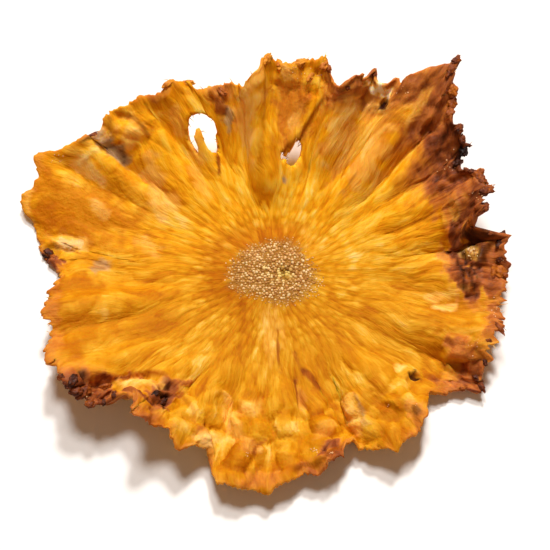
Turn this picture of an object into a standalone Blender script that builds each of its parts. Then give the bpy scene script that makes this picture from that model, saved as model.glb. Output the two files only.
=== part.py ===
"""Dried pineapple flower: one thin fruit slice, dried into a wide ruffled cup.

The slice is one solid. A flat disc grid is bent along its spokes: every spoke runs
from the core to the rim, and the lobes, creases and ruffles below say how far it
reaches, how high it rises and how it waves. Solidify gives both faces the same
triangles, and three small tears are cut right through. +X is the slice's right,
+Y its far side, +Z up; the slice stands on a small flat spot under its core.
"""
import math
from collections import namedtuple

import bmesh
import bpy
from mathutils import Vector, noise

MM = 0.001

# Driving sizes, in millimetres
CORE_THICKNESS = 1.7        # the woody core is a low dome
FLESH_THICKNESS = 1.15
RIM_THICKNESS = 0.75        # the rim is dried thinner
CORE_RADIUS = 8.5
FLAT_RADIUS = 9.5           # flat spot that the slice stands on
GRID_STEPS = 46             # grid squares across the disc
NOTCH_POWER = 1.5           # 1 makes straight-sided notches, 2 round ones
BODY_WINDOW = 15            # the flesh inside the rim follows the reach averaged over
BODY_STEP = 3               # this many degrees each way, in steps of this many
EDGE_POWER = 7              # how closely the lobes keep to the rim itself
RISE_POWER = 1.75           # a spoke's height grows as this power of the way out,
RISE_SWING = 0.35           # less on the far side and more on the near side by this
FLAT_EASE = 8.0             # width over which waves set in outside the flat spot
THIN_START = 0.6            # share of the spoke where the flesh starts to thin

# Lobes of the rim, anticlockwise from +X: tip angle in degrees, then the reach from
# the core's middle, the lift above the table and the depth of the notch that
# follows, in millimetres
Lobe = namedtuple("Lobe", "angle reach lift notch")
LOBES = [
    Lobe(6.6, 41.4, 7.6, 5.0),
    Lobe(12, 40.4, 8.4, 0.2),
    Lobe(17.5, 40.8, 9.2, 1.0),
    Lobe(23, 41.0, 10.0, 3.2),
    Lobe(30.5, 41.8, 11.0, 0.4),
    Lobe(39, 43.0, 13.0, 0.6),
    Lobe(46.5, 46.6, 17.0, 1.0),
    Lobe(55.5, 40.0, 14.0, 1.0),
    Lobe(62, 39.0, 13.5, 6.6),
    Lobe(75.5, 38.0, 15.4, 1.8),
    Lobe(91, 36.0, 15.0, 2.2),
    Lobe(101, 32.3, 13.0, 0.2),
    Lobe(110.5, 33.4, 12.5, 0.2),
    Lobe(120.5, 38.0, 12.0, 0.8),
    Lobe(129, 39.8, 10.6, 0.6),
    Lobe(137, 41.0, 9.0, 1.4),
    Lobe(145, 42.4, 6.4, 1.0),
    Lobe(152.7, 48.0, 3.2, 1.6),
    Lobe(161.8, 48.2, 0.9, 0.8),
    Lobe(173, 42.8, 0.6, 2.6),
    Lobe(186.5, 39.8, 1.8, 0.3),
    Lobe(194, 40.8, 4.2, 1.0),
    Lobe(208, 43.8, 6.4, 1.2),
    Lobe(216, 45.4, 7.6, 0.5),
    Lobe(221.5, 44.6, 7.8, 4.2),
    Lobe(231.5, 38.8, 8.8, 1.4),
    Lobe(246, 38.2, 7.4, 3.2),
    Lobe(257, 41.6, 4.6, 0.8),
    Lobe(268, 41.9, 1.6, 2.0),
    Lobe(284, 39.8, 4.4, 3.0),
    Lobe(300.5, 40.0, 5.4, 0.2),
    Lobe(308.5, 40.4, 5.2, 5.0),
    Lobe(328.2, 42.8, 2.6, 0.8),
    Lobe(341.8, 41.2, 4.2, 0.6),
    Lobe(354.2, 40.6, 5.6, 0.4),
]

# Rolled stretches of the rim: middle and half width in degrees, and turn in degrees
Roll = namedtuple("Roll", "angle half_width turn")
ROLLS = [
    Roll(219, 12, 60),
    Roll(14, 12, 45),
    Roll(35, 10, 50),
    Roll(59, 6, 35),
    Roll(127, 12, 30),
    Roll(288, 8, 35),
    Roll(329, 9, 45),
]
ROLL_START = 0.86           # share of the spoke where a roll begins
LEAST_TURN = 0.01           # a stretch that turns less, in radians, isn't rolled
SLOPE_STEP = 0.01           # step along the spoke for finding its slope

# Creases along the spokes: angle in degrees, start and end as shares of the spoke,
# height and half width in millimetres (a valley has a negative height)
Crease = namedtuple("Crease", "angle start end height half_width")
CREASES = [
    Crease(95, 0.35, 1.00, 1.9, 1.7),
    Crease(72, 0.40, 1.00, -1.5, 1.6),
    Crease(66, 0.50, 1.00, 1.4, 2.0),
    Crease(50, 0.35, 0.95, 0.8, 2.2),
    Crease(40, 0.40, 1.00, -0.7, 1.8),
    Crease(25, 0.45, 1.00, 0.8, 2.2),
    Crease(7, 0.55, 1.00, -1.5, 1.9),
    Crease(330, 0.55, 1.00, -1.1, 2.0),
    Crease(312, 0.50, 1.00, 1.2, 2.4),
    Crease(293, 0.50, 1.00, -1.3, 2.0),
    Crease(274, 0.45, 1.00, 1.1, 1.8),
    Crease(252, 0.50, 1.00, -1.2, 2.2),
    Crease(237, 0.55, 1.00, -1.4, 2.2),
    Crease(214, 0.55, 0.95, 1.2, 2.4),
    Crease(200, 0.45, 1.00, -0.6, 2.2),
    Crease(181, 0.55, 1.00, -1.0, 1.9),
    Crease(160, 0.45, 1.00, 0.5, 2.6),
    Crease(143, 0.50, 1.00, -0.6, 1.9),
    Crease(114, 0.50, 1.00, -1.2, 1.8),
]
CREASE_FADE_IN = 0.18       # shares of the spoke over which a crease comes and goes
CREASE_FADE_OUT = 0.12

# Ruffles: uneven waves that grow towards the rim, height in millimetres, waves in
# the whole turn, change along the spoke and a number that sets each one apart
Ruffle = namedtuple("Ruffle", "height waves along seed")
RUFFLES = [
    Ruffle(3.0, 8, 1.2, 3.0),
    Ruffle(2.2, 19, 2.6, 11.0),
]
RUFFLE_START = 0.30         # share of the spoke where the waves begin

# Tears right through the slice: where the middle is, as an angle in degrees and a
# share of the spoke, then length along the spoke and width in millimetres, and how
# much narrower the tear is at its inner end
Tear = namedtuple("Tear", "name angle share length width taper")
TEARS = [
    Tear("large_tear", 116.5, 0.775, 6.8, 3.9, 0.30),
    Tear("long_tear", 80.5, 0.625, 3.6, 1.5, 0.40),
    Tear("small_tear", 86.5, 0.610, 1.5, 1.3, 0.20),
]
TEAR_DEPTH = 6.0
TEAR_SIDES = 14


def angle_gap(angle, middle):
    """Signed difference of two angles in degrees, between -180 and 180."""
    return (angle - middle + 180.0) % 360.0 - 180.0


def smooth_step(value):
    value = min(1.0, max(0.0, value))
    return value * value * (3.0 - 2.0 * value)


def lobes_beside(angle):
    """The two lobes that an angle lies between, and how far it is from the first."""
    for here, after in zip(LOBES, LOBES[1:] + LOBES[:1]):
        span = (after.angle - here.angle) % 360.0
        share = (angle - here.angle) % 360.0 / span
        if share <= 1.0:
            return here, after, share
    return LOBES[0], LOBES[0], 0.0


def reach_at(angle):
    """Distance in plan from the core's middle to the rim."""
    here, after, share = lobes_beside(angle)
    tips = here.reach + (after.reach - here.reach) * smooth_step(share)
    return tips - here.notch * (1.0 - abs(2.0 * share - 1.0) ** NOTCH_POWER)


def body_reach_at(angle):
    """The reach with its notches and points averaged out."""
    steps = range(-BODY_WINDOW, BODY_WINDOW + 1, BODY_STEP)
    return sum(reach_at(angle + step) for step in steps) / len(steps)


def lift_at(angle):
    """Height of the rim, eased from lobe to lobe."""
    here, after, share = lobes_beside(angle)
    return here.lift + (after.lift - here.lift) * smooth_step(share)


def rise_power_at(angle):
    """The far side turns up early and steeply, the near side late."""
    return RISE_POWER - RISE_SWING * math.sin(math.radians(angle))


def roll_turn_at(angle):
    turn = 0.0
    for roll in ROLLS:
        offset = abs(angle_gap(angle, roll.angle)) / roll.half_width
        turn = max(turn, roll.turn * smooth_step(1.0 - offset))
    return math.radians(turn)


def crease_height(angle, share, radius):
    height = 0.0
    for crease in CREASES:
        across = radius * math.radians(angle_gap(angle, crease.angle)) / crease.half_width
        fade_in = smooth_step((share - crease.start) / CREASE_FADE_IN)
        fade_out = 1.0 - smooth_step((share - crease.end) / CREASE_FADE_OUT)
        height += crease.height * math.exp(-across * across) * fade_in * fade_out
    return height


def ruffle_height(angle, share):
    total = 0.0
    turned = math.radians(angle)
    for ruffle in RUFFLES:
        turn = ruffle.waves / math.pi
        place = (turn * math.cos(turned), turn * math.sin(turned),
                 ruffle.seed + ruffle.along * share)
        total += ruffle.height * noise.noise(place)
    return total * smooth_step((share - RUFFLE_START) / (1.0 - RUFFLE_START))


def spoke_point(angle, share):
    """A point of the slice's lower face, in millimetres: share runs from core to rim."""
    body = body_reach_at(angle)
    reach = body + (reach_at(angle) - body) * share ** EDGE_POWER
    flat_share = FLAT_RADIUS / reach
    power = rise_power_at(angle)
    lift = lift_at(angle)
    turn = roll_turn_at(angle)

    def rise(along):
        climb = max(0.0, (along - flat_share) / (1.0 - flat_share))
        return lift * climb ** power

    radius = reach * share
    height = rise(share)
    if share > ROLL_START and turn > LEAST_TURN:
        climb = rise(ROLL_START + SLOPE_STEP) - rise(ROLL_START)
        slope = math.atan2(climb, SLOPE_STEP * reach)
        length = reach * (share - ROLL_START)
        bend = reach * (1.0 - ROLL_START) / turn
        ahead = bend * math.sin(length / bend)
        over = bend * (1.0 - math.cos(length / bend))
        radius = reach * ROLL_START + ahead * math.cos(slope) - over * math.sin(slope)
        height = rise(ROLL_START) + ahead * math.sin(slope) + over * math.cos(slope)
    wave = crease_height(angle, share, radius) + ruffle_height(angle, share)
    free = smooth_step((radius - FLAT_RADIUS) / FLAT_EASE)
    height = max(0.0, height + wave * free)
    turned = math.radians(angle)
    return (radius * math.cos(turned), radius * math.sin(turned), height)


def thickness_at(share, radius):
    core = (CORE_THICKNESS - FLESH_THICKNESS) * (1.0 - smooth_step(radius / CORE_RADIUS))
    thinned = smooth_step((share - THIN_START) / (1.0 - THIN_START))
    return FLESH_THICKNESS + core + (RIM_THICKNESS - FLESH_THICKNESS) * thinned


def disc_from_square(u, v):
    """Angle and share of a grid point: square rings of the grid become round ones."""
    if u == 0.0 and v == 0.0:
        return 0.0, 0.0
    if abs(u) >= abs(v):
        angle = 45.0 * v / u + (180.0 if u < 0.0 else 0.0)
        return angle % 360.0, abs(u)
    angle = 90.0 - 45.0 * u / v + (180.0 if v < 0.0 else 0.0)
    return angle % 360.0, abs(v)


def flesh_material():
    material = bpy.data.materials.new("dried_pineapple")
    material.use_nodes = True
    shader = material.node_tree.nodes["Principled BSDF"]
    shader.inputs["Base Color"].default_value = (0.83, 0.36, 0.035, 1.0)
    shader.inputs["Roughness"].default_value = 0.5
    shader.inputs["Metallic"].default_value = 0.0
    return material


def build_slice(collection):
    grid = bmesh.new()
    bmesh.ops.create_grid(grid, x_segments=GRID_STEPS, y_segments=GRID_STEPS, size=1.0)
    thicknesses = []
    for vertex in grid.verts:
        angle, share = disc_from_square(round(vertex.co.x, 6), round(vertex.co.y, 6))
        x, y, z = spoke_point(angle, share)
        vertex.co = (x * MM, y * MM, z * MM)
        thicknesses.append(thickness_at(share, math.hypot(x, y)))
    bmesh.ops.triangulate(grid, faces=grid.faces, quad_method="SHORT_EDGE")
    mesh = bpy.data.meshes.new("pineapple_flower")
    grid.to_mesh(mesh)
    grid.free()
    flower = bpy.data.objects.new("pineapple_flower", mesh)
    collection.objects.link(flower)

    group = flower.vertex_groups.new(name="flesh")
    for index, thickness in enumerate(thicknesses):
        group.add([index], thickness / CORE_THICKNESS, "REPLACE")
    shell = flower.modifiers.new("flesh", "SOLIDIFY")
    shell.thickness = CORE_THICKNESS * MM
    shell.offset = 1.0
    shell.vertex_group = group.name
    mesh.materials.append(flesh_material())
    mesh.shade_smooth()
    return flower


def build_tear(tear, collection):
    """A cutter across the slice: an oval prism, square to the flesh where it stands."""
    here = Vector(spoke_point(tear.angle, tear.share)) * MM
    beyond = Vector(spoke_point(tear.angle, tear.share + SLOPE_STEP)) * MM
    outward = (beyond - here).normalized()
    across = Vector((0.0, 0.0, 1.0)).cross(outward).normalized()
    square = outward.cross(across)
    prism = bmesh.new()
    bmesh.ops.create_cone(prism, cap_ends=True, segments=TEAR_SIDES,
                          radius1=0.5, radius2=0.5, depth=TEAR_DEPTH * MM)
    for vertex in prism.verts:
        along, side, depth = vertex.co
        side *= 1.0 + tear.taper * 2.0 * along
        vertex.co = (here + outward * along * tear.length * MM
                     + across * side * tear.width * MM + square * depth)
    mesh = bpy.data.meshes.new(tear.name)
    prism.to_mesh(mesh)
    prism.free()
    cutter = bpy.data.objects.new(tear.name, mesh)
    cutter.hide_render = True
    cutter.display_type = "WIRE"
    collection.objects.link(cutter)
    return cutter


def main():
    for item in list(bpy.data.objects):
        bpy.data.objects.remove(item, do_unlink=True)
    parts = bpy.data.collections.new("dried_pineapple_flower")
    cutters = bpy.data.collections.new("tears")
    bpy.context.scene.collection.children.link(parts)
    bpy.context.scene.collection.children.link(cutters)
    flower = build_slice(parts)
    for tear in TEARS:
        cut = flower.modifiers.new(tear.name, "BOOLEAN")
        cut.operation = "DIFFERENCE"
        cut.object = build_tear(tear, cutters)


main()
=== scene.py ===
import math
from collections import namedtuple

import bmesh
import bpy
import numpy as np
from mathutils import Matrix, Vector, kdtree, noise


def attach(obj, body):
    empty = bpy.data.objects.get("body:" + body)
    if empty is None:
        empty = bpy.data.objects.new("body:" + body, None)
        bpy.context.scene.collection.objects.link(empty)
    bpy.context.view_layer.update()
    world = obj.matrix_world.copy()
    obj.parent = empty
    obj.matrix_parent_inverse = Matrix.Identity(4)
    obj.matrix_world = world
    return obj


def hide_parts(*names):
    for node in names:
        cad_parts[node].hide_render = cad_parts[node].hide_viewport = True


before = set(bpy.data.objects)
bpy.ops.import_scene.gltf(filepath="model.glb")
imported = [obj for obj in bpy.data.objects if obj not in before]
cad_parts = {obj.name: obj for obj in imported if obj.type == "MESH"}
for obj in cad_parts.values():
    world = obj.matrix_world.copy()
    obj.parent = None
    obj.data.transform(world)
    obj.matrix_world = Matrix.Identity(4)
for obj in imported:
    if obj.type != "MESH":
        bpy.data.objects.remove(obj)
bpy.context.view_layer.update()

MM = 0.001
BODY = "root"
NODE = "pineapple_flower"


def listed(kind, *rows):
    """One named tuple for each row of values."""
    return [kind(*row) for row in rows]


# ---------------------------------------------------------------- main form
CORE_THICKNESS = 1.7
FLESH_THICKNESS = 1.15
RIM_THICKNESS = 0.75
CORE_RADIUS = 8.5
FLAT_RADIUS = 9.5           # flat spot that the slice stands on
NOTCH_POWER = 1.5
BODY_WINDOW = 15            # the flesh inside the rim follows the reach averaged over
BODY_STEP = 3               # this many degrees each way, in steps of this many
EDGE_POWER = 7
RISE_POWER = 1.75
RISE_SWING = 0.35
FLAT_EASE = 8.0
THIN_START = 0.6
ROLL_START = 0.86           # the rim rolls over from this share outwards
LEAST_TURN = 0.01
SLOPE_STEP = 0.01           # share over which the rise's slope is taken
CREASE_FADE_IN = 0.18
CREASE_FADE_OUT = 0.12
RUFFLE_START = 0.30

# Lobes of the rim: angle of the tip, reach from the core's middle, lift above the
# table and depth of the notch that follows
LOBES = np.array([
    (6.6, 41.4, 7.6, 5), (12, 40.4, 8.4, 0.2), (17.5, 40.8, 9.2, 1), (23, 41, 10, 3.2),
    (30.5, 41.8, 11, 0.4), (39, 43, 13, 0.6), (46.5, 46.6, 17, 1), (55.5, 40, 14, 1),
    (62, 39, 13.5, 6.6), (75.5, 38, 15.4, 1.8), (91, 36, 15, 2.2), (101, 32.3, 13, 0.2),
    (110.5, 33.4, 12.5, 0.2), (120.5, 38, 12, 0.8), (129, 39.8, 10.6, 0.6), (137, 41, 9, 1.4),
    (145, 42.4, 6.4, 1), (152.7, 48, 3.2, 1.6), (161.8, 48.2, 0.9, 0.8), (173, 42.8, 0.6, 2.6),
    (186.5, 39.8, 1.8, 0.3), (194, 40.8, 4.2, 1), (208, 43.8, 6.4, 1.2), (216, 45.4, 7.6, 0.5),
    (221.5, 44.6, 7.8, 4.2), (231.5, 38.8, 8.8, 1.4), (246, 38.2, 7.4, 3.2),
    (257, 41.6, 4.6, 0.8), (268, 41.9, 1.6, 2), (284, 39.8, 4.4, 3), (300.5, 40, 5.4, 0.2),
    (308.5, 40.4, 5.2, 5), (328.2, 42.8, 2.6, 0.8), (341.8, 41.2, 4.2, 0.6),
    (354.2, 40.6, 5.6, 0.4),
])
TIP, REACH, LIFT, NOTCH = LOBES.T

# Rolled stretches of the rim, and how far they turn
Roll = namedtuple("Roll", "angle half_width turn")
ROLLS = listed(
    Roll,
    (219, 12, 60), (14, 12, 45), (35, 10, 50), (59, 6, 35), (127, 12, 30), (288, 8, 35),
    (329, 9, 45),
)

# Creases along the spokes, from one share to another
Crease = namedtuple("Crease", "angle start end height half_width")
CREASES = listed(
    Crease,
    (95, 0.35, 1, 1.9, 1.7), (72, 0.4, 1, -1.5, 1.6), (66, 0.5, 1, 1.4, 2),
    (50, 0.35, 0.95, 0.8, 2.2), (40, 0.4, 1, -0.7, 1.8), (25, 0.45, 1, 0.8, 2.2),
    (7, 0.55, 1, -1.5, 1.9), (330, 0.55, 1, -1.1, 2), (312, 0.5, 1, 1.2, 2.4),
    (293, 0.5, 1, -1.3, 2), (274, 0.45, 1, 1.1, 1.8), (252, 0.5, 1, -1.2, 2.2),
    (237, 0.55, 1, -1.4, 2.2), (214, 0.55, 0.95, 1.2, 2.4), (200, 0.45, 1, -0.6, 2.2),
    (181, 0.55, 1, -1, 1.9), (160, 0.45, 1, 0.5, 2.6), (143, 0.5, 1, -0.6, 1.9),
    (114, 0.5, 1, -1.2, 1.8),
)

# Ruffles: height, waves in the whole turn, change along the spoke, and a number that
# keeps them apart
Ruffle = namedtuple("Ruffle", "height waves along seed")
RUFFLES = listed(Ruffle, (3.0, 8, 1.2, 3.0), (2.2, 19, 2.6, 11.0))


def angle_gap(angle, middle):
    """Signed difference of two angles, between -180 and 180."""
    return (angle - middle + 180.0) % 360.0 - 180.0


def in_plan(angle, radius):
    """x and y of the place at an angle and a radius."""
    turned = np.radians(angle)
    return radius * np.cos(turned), radius * np.sin(turned)


def smooth_step(value, start=0.0, width=1.0):
    """0 up to the start, then a smooth rise to 1 over the width."""
    value = np.clip((value - start) / width, 0.0, 1.0)
    return value * value * (3.0 - 2.0 * value)


def unit_length(vectors):
    return vectors / np.linalg.norm(vectors, axis=-1, keepdims=True)


def lobes_beside(angle):
    """Index of the lobe before and after each angle, and how far it is between them."""
    here = (np.searchsorted(TIP, angle % 360.0, side="right") - 1) % len(LOBES)
    after = (here + 1) % len(LOBES)
    return here, after, ((angle - TIP[here]) % 360.0) / ((TIP[after] - TIP[here]) % 360.0)


def between(values, here, after, share):
    return values[here] + (values[after] - values[here]) * smooth_step(share)


def reach_at(angle):
    here, after, share = lobes_beside(angle)
    dip = 1.0 - np.abs(2.0 * share - 1.0) ** NOTCH_POWER
    return between(REACH, here, after, share) - NOTCH[here] * dip


def body_reach_at(angle):
    steps = range(-BODY_WINDOW, BODY_WINDOW + 1, BODY_STEP)
    return sum(reach_at(angle + step) for step in steps) / len(steps)


def roll_turn_at(angle):
    turn = np.zeros_like(angle)
    for roll in ROLLS:
        offset = np.abs(angle_gap(angle, roll.angle)) / roll.half_width
        turn = np.maximum(turn, roll.turn * smooth_step(1.0 - offset))
    return np.radians(turn)


def crease_height(angle, share, radius):
    height = np.zeros_like(radius)
    for crease in CREASES:
        across = radius * np.radians(angle_gap(angle, crease.angle)) / crease.half_width
        fade_in = smooth_step(share, crease.start, CREASE_FADE_IN)
        fade_out = 1.0 - smooth_step(share, crease.end, CREASE_FADE_OUT)
        height += crease.height * np.exp(-across * across) * fade_in * fade_out
    return height


def ruffle_height(angle, share):
    total = np.zeros_like(share)
    for ruffle in RUFFLES:
        x, y = in_plan(angle, ruffle.waves / math.pi)
        places = zip(x, y, ruffle.seed + ruffle.along * share)
        total += ruffle.height * np.fromiter(map(noise.noise, places), float, len(share))
    return total * smooth_step(share, RUFFLE_START, 1.0 - RUFFLE_START)


def lower_face(angle, share):
    """Points of the slice's lower face, as the frame has them."""
    body = body_reach_at(angle)
    reach = body + (reach_at(angle) - body) * share ** EDGE_POWER
    flat_share = FLAT_RADIUS / reach
    power = RISE_POWER - RISE_SWING * np.sin(np.radians(angle))
    lift = between(LIFT, *lobes_beside(angle))
    turn = roll_turn_at(angle)

    def rise(along):
        climb = np.maximum(0.0, (along - flat_share) / (1.0 - flat_share))
        return lift * climb ** power

    rolled = (share > ROLL_START) & (turn > LEAST_TURN)
    start = rise(np.full_like(share, ROLL_START))
    climb = rise(np.full_like(share, ROLL_START + SLOPE_STEP)) - start
    slope = np.arctan2(climb, SLOPE_STEP * reach)
    bend = reach * (1.0 - ROLL_START) / np.maximum(turn, LEAST_TURN)
    bent = reach * (share - ROLL_START) / bend
    ahead = bend * np.sin(bent)
    over = bend * (1.0 - np.cos(bent))
    rolled_radius = reach * ROLL_START + ahead * np.cos(slope) - over * np.sin(slope)
    rolled_height = start + ahead * np.sin(slope) + over * np.cos(slope)
    radius = np.where(rolled, rolled_radius, reach * share)
    height = np.where(rolled, rolled_height, rise(share))
    wave = crease_height(angle, share, radius) + ruffle_height(angle, share)
    height = np.maximum(0.0, height + wave * smooth_step(radius, FLAT_RADIUS, FLAT_EASE))
    return np.stack([*in_plan(angle, radius), height], axis=-1)


def thickness_at(share, radius):
    core = (CORE_THICKNESS - FLESH_THICKNESS) * (1.0 - smooth_step(radius, 0.0, CORE_RADIUS))
    thinned = smooth_step(share, THIN_START, 1.0 - THIN_START)
    return FLESH_THICKNESS + core + (RIM_THICKNESS - FLESH_THICKNESS) * thinned


# ---------------------------------------------------------------- fine surface
RIM_STEPS = 944             # points round the rim
RINGS = 74                  # rings of points between the middle and the rim
RING_HALVINGS = (0.58, 0.29)    # inside each of these shares a ring has half the points
RING_EVENNESS = 0.8         # below 1 the rings are closer together towards the rim
SEED = 7                    # every random draw starts from it
RIM_ZONE = 0.84             # the rim shrivels from this share outwards
RIM_ZONE_WIDTH = 0.16
TAPER_START = 0.975         # and its very edge tapers from this one
TAPER_WIDTH = 0.025
EDGE_TAPER = 0.6            # how much of the thickness the taper takes
LEAST_THICKNESS = 0.25

# Spots are ovals in plan: place of the middle, half length and half width, heading of
# the length, and strength
Spot = namedtuple("Spot", "angle radius length width heading strength")

# The torn holes, each made of overlapping ovals that leave a ragged finger standing
TORN = listed(
    Spot,
    (115.6, 29.4, 2.2, 1.15, 178, 1), (113.9, 28.6, 1.5, 1.1, 120, 1),
    (115, 27.2, 2.9, 0.92, 104, 1), (117, 27.5, 2.7, 0.55, 113, 1),
    (119.5, 29.6, 1.3, 0.6, 100, 1), (121.3, 27.7, 1.8, 0.42, 118, 1),
    (80.4, 21.9, 2.1, 0.92, 64, 1), (82, 21, 1, 0.95, 60, 1), (86.9, 21.1, 0.8, 0.48, 50, 1),
)

TEAR_RAGGED = 0.10          # how uneven the outlines of the holes are
TEAR_STEP = 0.02            # step over which the slope of a hole's outline is taken
LEAST_STEEPNESS = 0.2
MOST_SHIFT = 0.6            # how far a point may be moved onto a hole's outline
SHIFT_ROUNDS = 3

# Browned rim: how far in it starts as a share of the spoke. A thin browned line runs
# along the whole rim as well.
Browned = namedtuple("Browned", "angle half_width depth strength")
BROWNED = listed(
    Browned,
    (14, 13, 0.22, 0.8), (30, 13, 0.36, 0.92), (41, 8, 0.33, 0.78), (50, 7, 0.25, 0.62),
    (59, 8, 0.23, 0.64), (67, 6, 0.25, 0.62), (71, 4, 0.24, 0.46), (107, 5, 0.16, 0.55),
    (123, 8, 0.05, 0.35), (144, 5, 0.06, 0.5), (177, 4, 0.08, 0.85), (190, 12, 0.05, 0.3),
    (205, 8, 0.09, 0.36), (219, 8, 0.19, 0.95), (232, 6, 0.1, 0.6), (255, 16, 0.04, 0.35),
    (284, 9, 0.08, 0.55), (309, 8, 0.06, 0.4), (328, 9, 0.17, 0.74), (345, 10, 0.09, 0.62),
    (0, 10, 0.16, 0.74),
)

RIM_LINE_STRENGTH = 0.35
RIM_LINE_START = 0.985
RIM_LINE_WIDTH = 0.03

# Spots of each kind: browned, burnt dark, dark lines of painted crease shade, pale and painted
# light, grey and painted shade, and deep amber
BROWN_SPOTS = listed(
    Spot,
    (64, 33.4, 3.2, 1.8, 150, 0.6), (61.8, 37.8, 1.3, 1.1, 60, 0.95), (4, 35.4, 3.4, 2.6, 105, 1),
    (6.4, 32.4, 3, 1.6, 105, 1), (2.2, 33.6, 2.8, 2, 104, 1), (10.4, 33.2, 2.4, 1.6, 100, 0.9),
    (3.6, 31, 2.8, 1.4, 100, 0.55), (355, 37.4, 2.8, 1.8, 110, 0.8), (84.5, 28, 6, 3, 86, 0.2),
    (17, 32.4, 3.4, 1.3, 100, 0.45), (26, 32, 6, 3, 112, 0.36), (348, 36, 2.6, 1.4, 120, 0.28),
    (268, 39.5, 5, 1.6, 178, 0.3), (262, 33.6, 2, 0.9, 60, 0.34),
    (250, 34.6, 2.2, 0.8, 110, 0.34), (281, 24.5, 2.4, 0.9, 105, 0.3),
    (311.5, 36.6, 1.6, 1.2, 60, 0.45), (356, 34.2, 3.8, 2.3, 104, 1),
    (335, 35.8, 3, 1.4, 150, 0.66), (285.5, 35.4, 2.2, 1, 35, 0.7), (219, 40, 4.8, 3, 0, 0.95),
    (216.6, 37.2, 1.9, 1.1, 0, 0.9), (219.4, 33.8, 2, 0.35, 10, 0.8),
    (224.4, 31.2, 2.6, 0.35, -30, 0.8), (229.4, 35.4, 3.6, 0.5, -27, 0.9),
    (234.4, 33.6, 1.9, 1.1, -27, 0.9), (232.8, 31.2, 3, 1.5, 22, 0.85),
    (234.2, 27.2, 2.2, 0.6, 20, 0.65), (177.5, 39, 1.6, 0.9, 170, 0.8),
    (108, 30.6, 1.7, 1.3, 90, 0.6),
)
DARK_SPOTS = listed(
    Spot,
    (55, 35.1, 0.95, 0.8, 60, 1), (42, 37.8, 0.6, 0.3, 60, 0.7), (29.3, 38.6, 1.8, 0.75, 95, 1),
    (8, 35.6, 1.7, 1, 130, 0.9), (3.5, 37.6, 1.6, 0.6, 60, 0.7), (0.8, 34.2, 2.4, 0.3, 102, 0.8),
    (357.4, 35.4, 2.6, 0.3, 112, 0.8), (358.5, 33.2, 2.6, 0.3, 104, 0.9),
    (356.6, 34.6, 2.6, 0.26, 108, 0.8), (354.6, 33.6, 2.2, 0.22, 100, 0.7),
    (7.8, 37, 2.6, 0.6, 12, 0.8), (9.6, 34.2, 1.4, 0.6, 60, 0.7),
    (318.8, 31.6, 1.5, 0.3, -14, 0.95), (320.4, 31.2, 0.9, 0.24, 70, 0.8),
    (311.5, 36.8, 0.8, 0.5, 110, 0.6), (214.2, 40.2, 1.1, 0.6, 110, 0.9),
    (232.6, 31.9, 1.8, 0.4, 20, 0.9), (235.4, 33.8, 0.8, 0.5, 60, 1),
    (232, 30, 0.6, 0.3, 70, 0.8), (175.8, 41, 1.3, 0.6, 125, 1), (145, 41.2, 1.6, 0.35, 32, 0.7),
    (144.4, 40, 1.6, 0.2, 143, 0.7), (143.2, 38.6, 1.9, 0.14, 139, 0.6),
    (80.2, 24.2, 0.8, 0.22, 30, 0.9),
)
# Thin dark lines: painted shade in fine creases.
LINE_SPOTS = listed(
    Spot,
    (287.5, 22, 2.6, 0.5, 122, 1), (279.5, 23.2, 2.6, 0.44, 98, 0.95),
    (273, 14.8, 3.6, 0.26, 91, 0.85), (283.5, 17.5, 1.5, 0.34, 110, 0.6),
    (173.5, 35.9, 1.1, 0.18, 155, 0.9), (108.5, 31.2, 0.9, 0.22, 80, 0.8),
    (117.4, 22.6, 1.7, 0.24, 103, 1), (34.5, 33, 1.8, 0.18, 40, 0.6),
    (49, 21, 3.2, 0.16, 46, 0.5), (31, 24, 3, 0.16, 28, 0.5),
)
# Partly the flesh's own pale patches, partly painted light: the large spots 23 to 30 mm out at 49
# to 64, 98 to 101 and 141 to 142 degrees brighten flanks and valleys that the lamps leave in shade.
PALE_AND_PAINTED_LIGHT_SPOTS = listed(
    Spot,
    (170.8, 37.8, 3, 1.5, 160, 0.93), (141.5, 27.6, 3.6, 1.7, 112, 0.85),
    (142, 24.4, 3.2, 1.4, 130, 0.75), (128, 23, 3.6, 1.1, 118, 0.5), (121, 27, 2.4, 1, 105, 0.5),
    (147, 21, 2.6, 1, 130, 0.5), (150, 23.8, 2.2, 0.9, 125, 0.7),
    (167.5, 23.5, 2.2, 1.2, 140, 0.7), (159, 34, 1.6, 1.1, 150, 0.4),
    (150, 38.6, 3.4, 1.4, 150, 0.85), (163.5, 46.2, 2.8, 0.6, 100, 0.6),
    (136.2, 35.6, 2.4, 2, 40, 0.85), (122.5, 31.5, 2, 1.2, 120, 0.5),
    (98.6, 29, 4, 1.8, 90, 0.88), (99, 23.5, 3.4, 1, 94, 0.8), (101, 27.2, 3.2, 1.9, 95, 0.85),
    (82, 26.9, 1.9, 0.8, 60, 0.6), (60.4, 35.7, 1.4, 0.62, -25, 1),
    (57.2, 36.3, 1.8, 0.75, -35, 1), (55.3, 36.4, 1.2, 0.7, 105, 1), (47, 38.6, 3, 0.65, 48, 0.6),
    (63.5, 27.6, 4.6, 2.1, 63, 0.85), (59, 23, 3.6, 1.1, 58, 0.5), (56, 30, 5.4, 2.6, 56, 0.45),
    (49, 26, 5, 1.6, 48, 0.8), (41.5, 25.4, 3.6, 0.9, 40, 0.35), (16, 33.4, 1.3, 0.7, 95, 0.6),
    (4.2, 34.9, 1.5, 1.4, 0, 0.55), (350.5, 30, 3.6, 1, 10, 0.6), (346, 31.5, 2, 0.8, 10, 0.8),
    (318.5, 28.8, 1.2, 0.6, 15, 0.9), (297, 31, 3, 1.2, 101, 0.88), (286, 31.5, 2, 0.9, 50, 0.4),
    (249, 36.4, 2, 1.2, 60, 0.5), (257, 30, 4.2, 1.9, 118, 0.75), (262, 26.5, 1.8, 1.3, 60, 0.5),
    (224.8, 32.9, 3.2, 1.4, -12, 0.88), (268, 12, 5.5, 1.8, 90, 0.3),
)
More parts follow.
